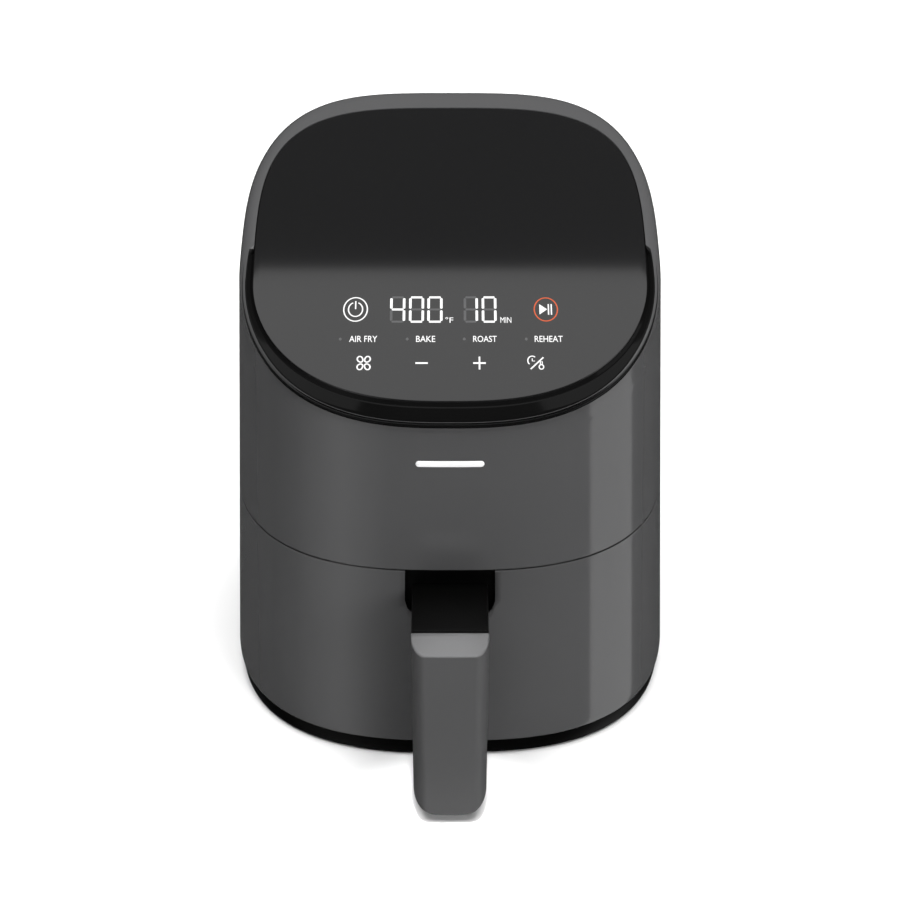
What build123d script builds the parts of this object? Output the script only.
from build123d import *
import math
import os

# Compact drawer air fryer. Millimetres, +Z up, the drawer opens towards -Y.
# Every shape is drawn about the upright axis of the body, then moved AXIS_Y back
# so the origin sits under the middle of the whole appliance.

# Body column
HALF_WIDTH = 103.2        # at the floor, before draft
HALF_DEPTH = 102.4
DRAFT = 0.0491            # mm of inset per mm of height
CORNER_POWER = 2.68       # how square the plan is
WALL = 2.4
BODY_BOTTOM = 8.8
SEAM_LOW = 101.2          # top edge of the drawer cover
SEAM_HIGH = 101.8         # bottom edge of the upper shell
SPLIT_Y = 0.5             # where the drawer cover meets the rear of the shell

# Sloped top
TOP_SLOPE = 20.0
TOP_Z = 215.0             # height of the panel plane on the body axis
RIM_SLOPE = 24.63
RIM_Z = 216.03            # height of the steeper front rim plane on the axis
NOTCH_Y = -10.9
RIM_SKIN = 1.0            # what is left of the wall outside the collar's foot
COLLAR_FOOT = 1.3
EDGE_ROUND = 6.5

# Touch panel outline in plan
PANEL_Y = -23.4
PANEL_HALF_WIDTH = 86.2
PANEL_FRONT = 65.0
PANEL_BACK = 98.3
LENS_THICK = 2.2
BEZEL_THICK = 1.3

# Handle
HANDLE_WIDTH = 33.2
HANDLE_FRONT_Y = -147.0
HANDLE_BACK_Y = -128.2
HANDLE_JOIN_Y = -130.6
HANDLE_TOP = 93.4
HANDLE_BOTTOM = 4.4
NOTCH_WIDTH = 39.6
NOTCH_BOTTOM = 77.0

# Drawer and cavity
BASKET_HALF = 74.5
BASKET_FRONT = -74.0
BASKET_BACK = 74.5
BASKET_FLOOR = 15.0
BASKET_RIM = 93.0
BASKET_WALL = 1.2
LINER_HALF = 78.0
LINER_FRONT = -60.0
LINER_BACK = 80.0
LINER_FLOOR = 11.0
LINER_TOP = 106.0
PLATE_Z = 22.0

# Heater and motor stack, heights above the floor
SHIELD_RADIUS = 72.0
SHIELD_TOP = 138.0
ELEMENT_Z = 115.0
ELEMENT_TUBE = 3.2
SHAFT_RADIUS = 2.5
BEARING_BORE = 2.55

GLAND_BACK_Y = 113.0
AXIS_Y = -(HANDLE_FRONT_Y + GLAND_BACK_Y) / 2

top_plane = Plane(origin=(0, 0, TOP_Z), x_dir=(1, 0, 0),
                  z_dir=(0, -math.sin(math.radians(TOP_SLOPE)), math.cos(math.radians(TOP_SLOPE))))
rim_plane = Plane(origin=(0, 0, RIM_Z), x_dir=(1, 0, 0),
                  z_dir=(0, -math.sin(math.radians(RIM_SLOPE)), math.cos(math.radians(RIM_SLOPE))))


def power_curve(value, power):
    return math.copysign(abs(value) ** (2 / power), value)


def ring_face(z, half_width, front, back, y_mid, front_powers, back_powers):
    """A flat face bounded by one smooth closed curve, a softened rectangle in plan."""
    points = []
    for step in range(48):
        turn = 2 * math.pi * step / 48
        c, s = math.cos(turn), math.sin(turn)
        across, along = front_powers if s < 0 else back_powers
        depth = front if s < 0 else back
        points.append((half_width * power_curve(c, across), y_mid + depth * power_curve(s, along), z))
    return make_face([Spline(*points, periodic=True)])


def body_column(low, high, inset=0.0):
    faces = []
    powers = (CORNER_POWER, CORNER_POWER)
    for z in (low, high):
        wide = HALF_WIDTH - DRAFT * z - inset
        deep = HALF_DEPTH - DRAFT * z - inset
        faces.append(ring_face(z, wide, deep, deep, 0, powers, powers))
    return loft(faces, ruled=True)


def panel_prism(low, high, grow=0.0):
    face = ring_face(low, PANEL_HALF_WIDTH + grow, PANEL_FRONT + grow, PANEL_BACK + grow,
                     PANEL_Y, (2.63, 2.0), (3.46, 3.9))
    return extrude(face, high - low, dir=(0, 0, 1))


def above(plane, offset=0.0):
    return extrude(plane.offset(offset) * Rectangle(600, 600), 300)


def block(x0, x1, y0, y1, z0, z1):
    return Pos((x0 + x1) / 2, (y0 + y1) / 2, (z0 + z1) / 2) * Box(x1 - x0, y1 - y0, z1 - z0)


def rod(x, y, z0, z1, radius):
    return Pos(x, y, (z0 + z1) / 2) * Cylinder(radius, z1 - z0)


def rod_y(x, z, y0, y1, radius):
    return Pos(x, (y0 + y1) / 2, z) * Rot(90, 0, 0) * Cylinder(radius, y1 - y0)


def slab(plane, u, v, w0, w1, width, length):
    """A box square to a sloped plane: u across, v up the slope, w out of it."""
    return plane * Pos(u, v, (w0 + w1) / 2) * Box(width, length, w1 - w0)


def pin(plane, u, v, w0, w1, radius):
    return plane * Pos(u, v, (w0 + w1) / 2) * Cylinder(radius, w1 - w0)


def rounded_tub(half, front, back, low, high, front_radius, back_radius):
    """A solid tub shape, its upright edges rounded."""
    solid = block(-half, half, front, back, low, high)
    edges = solid.edges().filter_by(Axis.Z)
    solid = fillet([e for e in edges if e.center().Y > 0], back_radius)
    if front_radius > 0:
        edges = solid.edges().filter_by(Axis.Z)
        solid = fillet([e for e in edges if e.center().Y < front + 0.01], front_radius)
    return solid


def union(parts):
    whole = parts[0]
    for piece in parts[1:]:
        whole = whole + piece
    return whole


# ---------------------------------------------------------------- housing

def rounded_body(inset):
    """The body column under the sloped top, its top edge rolled over."""
    solid = body_column(BODY_BOTTOM, 275, inset) - above(top_plane, -inset)
    slope_z = math.cos(math.radians(TOP_SLOPE))
    roof = [f for f in solid.faces() if abs(f.normal_at().Z - slope_z) < 1e-3 and f.center().Z > 150][0]
    return fillet(roof.outer_wire().edges(), EDGE_ROUND - inset)


def collar_seat():
    """The step round the front rim that the collar's foot sits on."""
    front_half = block(-200, 200, -300, NOTCH_Y - 1.0, 0, 400)
    return rounded_body(RIM_SKIN) & above(rim_plane, -COLLAR_FOOT) & front_half


def make_outer_shell():
    outer = rounded_body(0)
    front_half = block(-200, 200, -300, NOTCH_Y, 0, 400)
    outer = outer - (above(rim_plane) & front_half)
    inner = body_column(0, 275, WALL) - above(top_plane, -WALL) - (above(rim_plane, -WALL) & front_half)
    shell = outer - inner - panel_prism(120, 300, 0.35) - collar_seat()
    shell = shell - block(-200, 200, -200, SPLIT_Y, 0, SEAM_HIGH)
    window = block(-34, 34, 60, 120, 148, 190)
    shell = shell - window - rod_y(0, 24, 85, 120, 8.2)
    bosses = [rod(x, y, BODY_BOTTOM, 30, 5) - rod(x, y, 0, 22, 1.6)
              for x, y in ((-87, 30), (87, 30), (-35, 89), (35, 89))]
    webs = [block(90, 100, 29, 31, BODY_BOTTOM, 30), block(-100, -90, 29, 31, BODY_BOTTOM, 30),
            block(34, 36, 92, 100, BODY_BOTTOM, 30), block(-36, -34, 92, 100, BODY_BOTTOM, 30)]
    extras = union(bosses + webs) & body_column(BODY_BOTTOM, 60, 1.0)
    return shell + extras


def make_neck_band():
    ring = panel_prism(120, 300, -1.4) - panel_prism(120, 300, -3.2)
    low = above(top_plane, -22)
    ring = (ring & low) - above(top_plane, -(LENS_THICK + BEZEL_THICK))
    foot = collar_seat() - above(rim_plane) - panel_prism(120, 300, -3.2)
    return ring + (foot - above(top_plane, -(LENS_THICK + BEZEL_THICK)))


def make_panel_bezel():
    under = -(LENS_THICK + BEZEL_THICK)
    tray = (panel_prism(120, 300) & above(top_plane, under)) - above(top_plane, -LENS_THICK)
    tray = tray - slab(top_plane, 0, -14, under - 1, 0, 104, 46)
    posts = [pin(top_plane, u, v, -15.0, under, 3.0) for u in (-55, 55) for v in (-46, 12)]
    return tray + union(posts)


def make_touch_panel():
    return (panel_prism(120, 300) & above(top_plane, -LENS_THICK)) - above(top_plane)


def make_base_cover():
    plate = body_column(1.2, 8.4, 1.8) - body_column(0, 6.0, 4.4)
    ribs = [block(x - 2, x + 2, -58, 76, 8.4, LINER_FLOOR) for x in (-40, 40)]
    holes = [rod(x, y, 0, 20, 1.6) for x, y in ((-87, 30), (87, 30), (-35, 89), (35, 89))]
    inlets = [block(-30, 30, y - 1.5, y + 1.5, 0, 8.41) for y in (-30, -20, -10, 0, 10, 20, 30)]
    return plate + union(ribs) - union(holes) - union(inlets)


def make_feet():
    return union([rod(x, y, 0, 6, 9) for x in (-66, 66) for y in (-62, 62)])


def make_base_screws():
    screws = []
    for x, y in ((-87, 30), (87, 30), (-35, 89), (35, 89)):
        screws.append(rod(x, y, 4.2, 6.0, 3.2) + rod(x, y, 6.0, 21, 1.55))
    return union(screws)


def make_vent_grille():
    skin = body_column(140, 200, 0.5) - body_column(130, 210, WALL + 0.4)
    grille = skin & block(-33.7, 33.7, 60, 120, 148.3, 189.7)
    slots = [block(-29, 29, 60, 120, z, z + 3) for z in range(152, 186, 6)]
    return grille - union(slots)


def make_cord_gland():
    return rod_y(0, 24, 90, GLAND_BACK_Y, 8.0) - rod_y(0, 24, 80, 120, 3.6)


# ---------------------------------------------------------------- cavity and heater

def make_cavity_liner():
    outer = rounded_tub(LINER_HALF, LINER_FRONT, LINER_BACK, LINER_FLOOR, LINER_TOP, 0, 34)
    inner = rounded_tub(LINER_HALF - 1, LINER_FRONT - 5, LINER_BACK - 1, LINER_FLOOR + 1, LINER_TOP - 1, 0, 33)
    rails = [block(x - 2, x + 2, -55, 60, LINER_FLOOR + 1, 14.7) for x in (-40, 40)]
    holes = [rod(53 * i, 53 * j, 100, 110, 1.6) for i in (-1, 1) for j in (-1, 1)]
    return outer - inner - rod(0, 0, 100, 110, 66) + union(rails) - union(holes)


def make_heat_shield():
    cup = rod(0, 0, LINER_TOP, SHIELD_TOP, SHIELD_RADIUS) - rod(0, 0, 100, SHIELD_TOP - 0.8, SHIELD_RADIUS - 0.8)
    flange = rod(0, 0, LINER_TOP, LINER_TOP + 0.8, 77.5) - rod(0, 0, 100, 110, SHIELD_RADIUS - 0.8)
    cuts = [rod(0, 0, 130, 150, 6)]
    for radius in (43, 54):
        x, y = radius * math.cos(math.radians(100)), radius * math.sin(math.radians(100))
        cuts.append(rod(x, y, 130, 150, 4.2))
    cuts += [rod(53 * i, 53 * j, 100, 110, 1.6) for i in (-1, 1) for j in (-1, 1)]
    probe = Rot(0, 0, 35) * Pos(72, 0, 126) * Rot(0, 90, 0) * Cylinder(2.6, 20)
    return cup + flange - union(cuts) - probe


def make_shield_screws():
    return union([rod(53 * i, 53 * j, 106.8, 108.8, 2.4) + rod(53 * i, 53 * j, 102, 106.8, 1.55)
                  for i in (-1, 1) for j in (-1, 1)])


def make_heating_element():
    parts = []
    for radius in (43, 54):
        tube = Plane.XZ * Pos(radius, 0) * Circle(ELEMENT_TUBE)
        ring = revolve(tube, Axis.Z, 340)
        parts.append(Pos(0, 0, ELEMENT_Z) * Rot(0, 0, 100) * ring)
        x, y = radius * math.cos(math.radians(100)), radius * math.sin(math.radians(100))
        parts.append(rod(x, y, ELEMENT_Z, 147, ELEMENT_TUBE))
        parts.append(Pos(x, y, ELEMENT_Z) * Sphere(ELEMENT_TUBE))
    turn_x, turn_y = 48.5 * math.cos(math.radians(80)), 48.5 * math.sin(math.radians(80))
    parts.append(Pos(turn_x, turn_y, ELEMENT_Z) * Rot(0, 0, 80) * Rot(0, 90, 0) * Cylinder(ELEMENT_TUBE, 11))
    for radius in (43, 54):
        x, y = radius * math.cos(math.radians(80)), radius * math.sin(math.radians(80))
        parts.append(Pos(x, y, ELEMENT_Z) * Sphere(ELEMENT_TUBE))
    return union(parts)


def make_element_clips():
    clips = []
    for turn in (0, 180, 270):
        hanger = block(53, 55, -3, 3, ELEMENT_Z + ELEMENT_TUBE, SHIELD_TOP - 0.8)
        clips.append(Rot(0, 0, turn) * (hanger + block(50, 58, -3, 3, SHIELD_TOP - 2.0, SHIELD_TOP - 0.8)))
    return union(clips)


def make_element_guard():
    wires = [Pos(0, 0, 108) * Torus(radius, 1.0) for radius in (14, 28, 42, 56)]
    for turn in range(0, 360, 60):
        spoke = Pos(36.4, 0, 108) * Rot(0, 90, 0) * Cylinder(1.0, 69.4)
        wires.append(Rot(0, 0, turn) * spoke)
    guard = union(wires) & rod(0, 0, 100, 120, SHIELD_RADIUS - 0.8)
    return guard


def make_temperature_sensor():
    return Rot(0, 0, 35) * (Pos(71, 0, 126) * Rot(0, 90, 0) * (Cylinder(2.5, 16) + Pos(0, 0, 10) * Cylinder(4, 4)))


def make_thermal_cutout():
    return rod(-55, -28, SHIELD_TOP, 141, 8) + rod(-55, -28, 141, 147, 6.5)


# ---------------------------------------------------------------- fan and motor

def fan_wheel(disc_low, disc_high, blade_low, blade_high, radius, blades):
    wheel = rod(0, 0, disc_low, disc_high, radius)
    wheel += rod(0, 0, min(blade_low, disc_low), max(blade_high, disc_high), 8)
    for i in range(blades):
        blade = block(6, radius - 0.5, -0.7, 0.7, blade_low, blade_high)
        wheel += Rot(0, 0, 360 * i / blades) * blade
    return wheel - rod(0, 0, 100, 200, SHAFT_RADIUS)


def make_convection_fan():
    return fan_wheel(132, 133, 122, 132, 38, 10)


def make_cooling_fan():
    return fan_wheel(140, 141, 141, 149, 38, 9)


def make_fan_nut():
    nut = extrude(Pos(0, 0, 118.2) * RegularPolygon(5.5, 6), 3.8)
    return nut - rod(0, 0, 100, 200, SHAFT_RADIUS)


def make_motor_shaft():
    return rod(0, 0, 117, 185, SHAFT_RADIUS)


def make_motor_rotor():
    return rod(0, 0, 158, 174, 11) - rod(0, 0, 150, 190, SHAFT_RADIUS)


def make_motor_stator():
    core = block(-32, 32, -28, 28, 157, 175) - rod(0, 0, 150, 180, 11.5)
    core -= block(-20, 20, -23, -14, 150, 180)
    return core - rod(-26, 5, 150, 180, 2) - rod(26, 5, 150, 180, 2)


def make_motor_coil():
    return block(-15, 15, -32.5, -19, 153.6, 178.4) - block(-16, 16, -28, -23, 157, 175)


def make_motor_bracket():
    arms = [Pos(0, 0, 152.75) * Rot(0, 0, turn) * Box(140, 14, 1.5) for turn in (45, 135)]
    plate = union(arms) + rod(0, 0, 152, 153.5, 33)
    return plate - rod(0, 0, 150, 156, 9) - rod(-26, 5, 150, 156, 2) - rod(26, 5, 150, 156, 2)


def make_motor_posts():
    return union([rod(46 * i, 46 * j, SHIELD_TOP, 152, 3.5) for i in (-1, 1) for j in (-1, 1)])


def make_bearing_lower():
    return rod(0, 0, 151, 156, 9) - rod(0, 0, 150, 160, BEARING_BORE)


def make_bearing_upper():
    return rod(0, 0, 176.5, 181.5, 8) - rod(0, 0, 170, 190, BEARING_BORE)


def make_motor_bridge():
    bar = block(-32, 32, -11, 11, 178.6, 180.1)
    return bar - rod(0, 0, 170, 190, 8) - rod(-26, 5, 170, 190, 2) - rod(26, 5, 170, 190, 2)


def make_motor_spacers():
    rings = []
    for x in (-26, 26):
        for low, high in ((153.5, 157), (175, 178.6)):
            rings.append(rod(x, 5, low, high, 4) - rod(x, 5, 150, 190, 2))
    return union(rings)


def make_motor_screws():
    return union([rod(x, 5, 150, 180.1, 2) + rod(x, 5, 180.1, 182.4, 3.6) for x in (-26, 26)])


# ---------------------------------------------------------------- electronics

def make_power_board():
    return block(-42, 42, 76, 77.6, 142, 196)


def make_board_posts():
    posts = [rod_y(x, z, 77.6, 100, 3) for x in (-38, 38) for z in (144.5, 193.5)]
    return union(posts) & body_column(100, 220, WALL)


def make_power_relay():
    return block(-36, -17, 60, 76, 150, 165)


def make_power_capacitor():
    return rod_y(-2, 158, 60, 76, 6)


def make_power_transformer():
    return block(10, 34, 58, 76, 148, 170)


def make_terminal_block():
    body = block(-34, -6, 66, 76, 176, 190)
    return body - union([rod_y(x, 183, 60, 70, 2.2) for x in (-29, -20, -11)])


def make_control_board():
    return slab(top_plane, 0, -16, -16.6, -15.0, 126, 66)


def make_led_display():
    return slab(top_plane, 0, -14, -15.0, -LENS_THICK - 0.3, 96, 40)


def make_touch_springs():
    spots = [(-50, -41), (-17, -41), (17, -41), (50, -41)]
    return union([pin(top_plane, u, v, -15.0, -(LENS_THICK + BEZEL_THICK), 2.5) for u, v in spots])


def make_control_screws():
    return union([pin(top_plane, u, v, -18.4, -16.6, 2.8) for u in (-55, 55) for v in (-46, 12)])


# ---------------------------------------------------------------- drawer

def make_drawer_front():
    solid = body_column(BODY_BOTTOM, SEAM_LOW) - body_column(0, 150, WALL)
    cover = solid & block(-200, 200, -200, 0, 0, 200)
    notch = block(-NOTCH_WIDTH / 2, NOTCH_WIDTH / 2, -130, -60, NOTCH_BOTTOM, 130)
    low_edges = [e for e in notch.edges().filter_by(Axis.Y) if e.center().Z < NOTCH_BOTTOM + 1]
    return cover - fillet(low_edges, 8)


def make_drawer_frame():
    skin = body_column(10, 100.6, WALL + 0.1) - body_column(0, 150, WALL + 2.0)
    skin = skin & block(-200, 200, -200, -2, 0, 200)
    inside = body_column(10, 100.6, WALL + 0.1)
    plate = block(-200, 200, -78, -74, 10, 100.6) & inside
    deck = (block(-200, 200, -200, -63, 98.6, 100.6) & inside) - block(-75.5, 75.5, -74, 0, 90, 110)
    lug = block(81, 96, -4.3, -1.3, 63, 71) & body_column(0, 150, WALL + 1)
    frame = skin + plate + deck + lug - block(-22.3, 22.3, -130, -92.6, 73.7, 110)
    holes = [rod_y(x, z, -90, -70, 2) for x in (-24, 24) for z in (42, 72)]
    return frame - union(holes) - block(-16.9, 16.9, -95, -78, 78, 110)


def make_handle_bracket():
    stem = block(-HANDLE_WIDTH / 2, HANDLE_WIDTH / 2, HANDLE_BACK_Y, -78.0, 80, 92.6)
    flange = block(-22, 22, -96.6, -93.2, 74, 98.3) & body_column(0, 150, WALL + 0.05)
    return stem + flange


def handle_profile(y0, y1):
    half = HANDLE_WIDTH / 2
    return block(-half, half, y0, y1, HANDLE_BOTTOM, HANDLE_TOP)


def make_handle_grip():
    bar = handle_profile(HANDLE_FRONT_Y, HANDLE_JOIN_Y)
    long_edges = [e for e in bar.edges().filter_by(Axis.Z) if e.center().Y < HANDLE_FRONT_Y + 1]
    bar = fillet(long_edges, 7.0)
    low = [e for e in bar.edges() if e.center().Z < HANDLE_BOTTOM + 0.5 and e.center().Y < HANDLE_JOIN_Y - 0.5]
    bar = fillet(low, 4.0)
    return bar - union([rod_y(0, z, -139, HANDLE_JOIN_Y, 1.5) for z in (22, 62)])


def make_handle_back():
    bar = handle_profile(HANDLE_JOIN_Y, HANDLE_BACK_Y)
    edges = [e for e in bar.edges().filter_by(Axis.Z) if e.center().Y > HANDLE_BACK_Y - 0.1]
    bar = fillet(edges, 1.5)
    holes = [rod_y(0, z, -140, -120, 1.5) + rod_y(0, z, -129.6, -120, 3.4) for z in (22, 62)]
    return bar - union(holes)


def make_handle_screws():
    return union([rod_y(0, z, -138.5, -129.6, 1.5) + rod_y(0, z, -129.6, -128.4, 3.3) for z in (22, 62)])


def make_basket():
    outer = rounded_tub(BASKET_HALF, BASKET_FRONT, BASKET_BACK, BASKET_FLOOR, BASKET_RIM, 26, 30)
    outer = fillet(outer.faces().sort_by(Axis.Z)[0].outer_wire().edges(), 4.0)
    inner = rounded_tub(BASKET_HALF - BASKET_WALL, BASKET_FRONT + BASKET_WALL, BASKET_BACK - BASKET_WALL,
                        BASKET_FLOOR + BASKET_WALL, BASKET_RIM + 5, 26 - BASKET_WALL, 30 - BASKET_WALL)
    inner = fillet(inner.faces().sort_by(Axis.Z)[0].outer_wire().edges(), 2.8)
    rim = rounded_tub(BASKET_HALF + 1.6, BASKET_FRONT + 0.2, BASKET_BACK + 1.6, BASKET_RIM - 1.2, BASKET_RIM, 26, 31)
    holes = [rod_y(x, z, -90, -70, 2) for x in (-24, 24) for z in (42, 72)]
    return outer + rim - inner - union(holes)


def make_basket_rivets():
    return union([rod_y(x, z, -77, -72.8, 2) + rod_y(x, z, -72.8, -71.2, 4) for x in (-24, 24) for z in (42, 72)])


def make_crisper_plate():
    plate = rounded_tub(69.5, -69, 69.5, PLATE_Z, PLATE_Z + 1.2, 23, 26)
    cuts = [rod(50 * i, 50 * j, 0, 60, 3) for i in (-1, 1) for j in (-1, 1)]
    cuts.append(rod(0, 0, 0, 60, 6))
    for radius, count, length in ((17, 8, 9), (32, 14, 10), (48, 20, 10), (61, 12, 7)):
        for i in range(count):
            turn = 360 * (i + 0.5) / count
            x, y = radius * math.cos(math.radians(turn)), radius * math.sin(math.radians(turn))
            if min(math.hypot(abs(x) - 50, abs(y) - 50), 99) < 13:
                continue
            slot = Rot(0, 0, turn) * Pos(radius, 0, PLATE_Z) * Box(length, 3, 8)
            cuts.append(slot)
    return plate - union(cuts)


def make_plate_feet():
    feet = []
    for i in (-1, 1):
        for j in (-1, 1):
            x, y = 50 * i, 50 * j
            feet.append(rod(x, y, 16.5, PLATE_Z, 5) + rod(x, y, PLATE_Z, PLATE_Z + 1.2, 3)
                        + rod(x, y, PLATE_Z + 1.2, PLATE_Z + 3, 5))
    return union(feet)


# ---------------------------------------------------------------- interlock switch

def make_switch_body():
    case = block(78, 90, 6, 25, 60, 74)
    return case - rod_y(84, 67, 7, 20, 2.6) - rod_y(84, 67, 0, 10, 1.56)


def make_switch_plunger():
    return rod_y(84, 67, -1.0, 10.0, 1.5) + rod_y(84, 67, 10.0, 11.0, 2.3)


def make_switch_spring():
    coil = Helix(pitch=2.0, height=8.0, radius=1.7)
    wire = sweep(Plane(origin=coil @ 0, z_dir=coil % 0) * Circle(0.3), path=coil)
    return Pos(84, 19.6, 67) * Rot(90, 0, 0) * wire


makers = {
    "outer_shell": make_outer_shell, "neck_band": make_neck_band, "panel_bezel": make_panel_bezel,
    "touch_panel": make_touch_panel, "base_cover": make_base_cover, "feet": make_feet,
    "base_screws": make_base_screws, "vent_grille": make_vent_grille, "cord_gland": make_cord_gland,
    "cavity_liner": make_cavity_liner, "heat_shield": make_heat_shield, "shield_screws": make_shield_screws,
    "heating_element": make_heating_element, "element_clips": make_element_clips,
    "element_guard": make_element_guard, "temperature_sensor": make_temperature_sensor,
    "thermal_cutout": make_thermal_cutout, "convection_fan": make_convection_fan,
    "cooling_fan": make_cooling_fan, "fan_nut": make_fan_nut, "motor_shaft": make_motor_shaft,
    "motor_rotor": make_motor_rotor, "motor_stator": make_motor_stator, "motor_coil": make_motor_coil,
    "motor_bracket": make_motor_bracket, "motor_posts": make_motor_posts, "bearing_lower": make_bearing_lower,
    "bearing_upper": make_bearing_upper, "motor_bridge": make_motor_bridge,
    "motor_spacers": make_motor_spacers, "motor_screws": make_motor_screws,
    "power_board": make_power_board, "board_posts": make_board_posts, "power_relay": make_power_relay,
    "power_capacitor": make_power_capacitor, "power_transformer": make_power_transformer,
    "terminal_block": make_terminal_block, "control_board": make_control_board,
    "led_display": make_led_display, "touch_springs": make_touch_springs,
    "control_screws": make_control_screws, "drawer_front": make_drawer_front,
    "drawer_frame": make_drawer_frame, "handle_bracket": make_handle_bracket,
    "handle_grip": make_handle_grip, "handle_back": make_handle_back, "handle_screws": make_handle_screws,
    "basket": make_basket, "basket_rivets": make_basket_rivets, "crisper_plate": make_crisper_plate,
    "plate_feet": make_plate_feet, "switch_body": make_switch_body,
    "switch_plunger": make_switch_plunger, "switch_spring": make_switch_spring,
}

os.makedirs("parts", exist_ok=True)
for name, make in makers.items():
    export_step(Pos(0, AXIS_Y, 0) * make(), os.path.join("parts", name + ".step"))
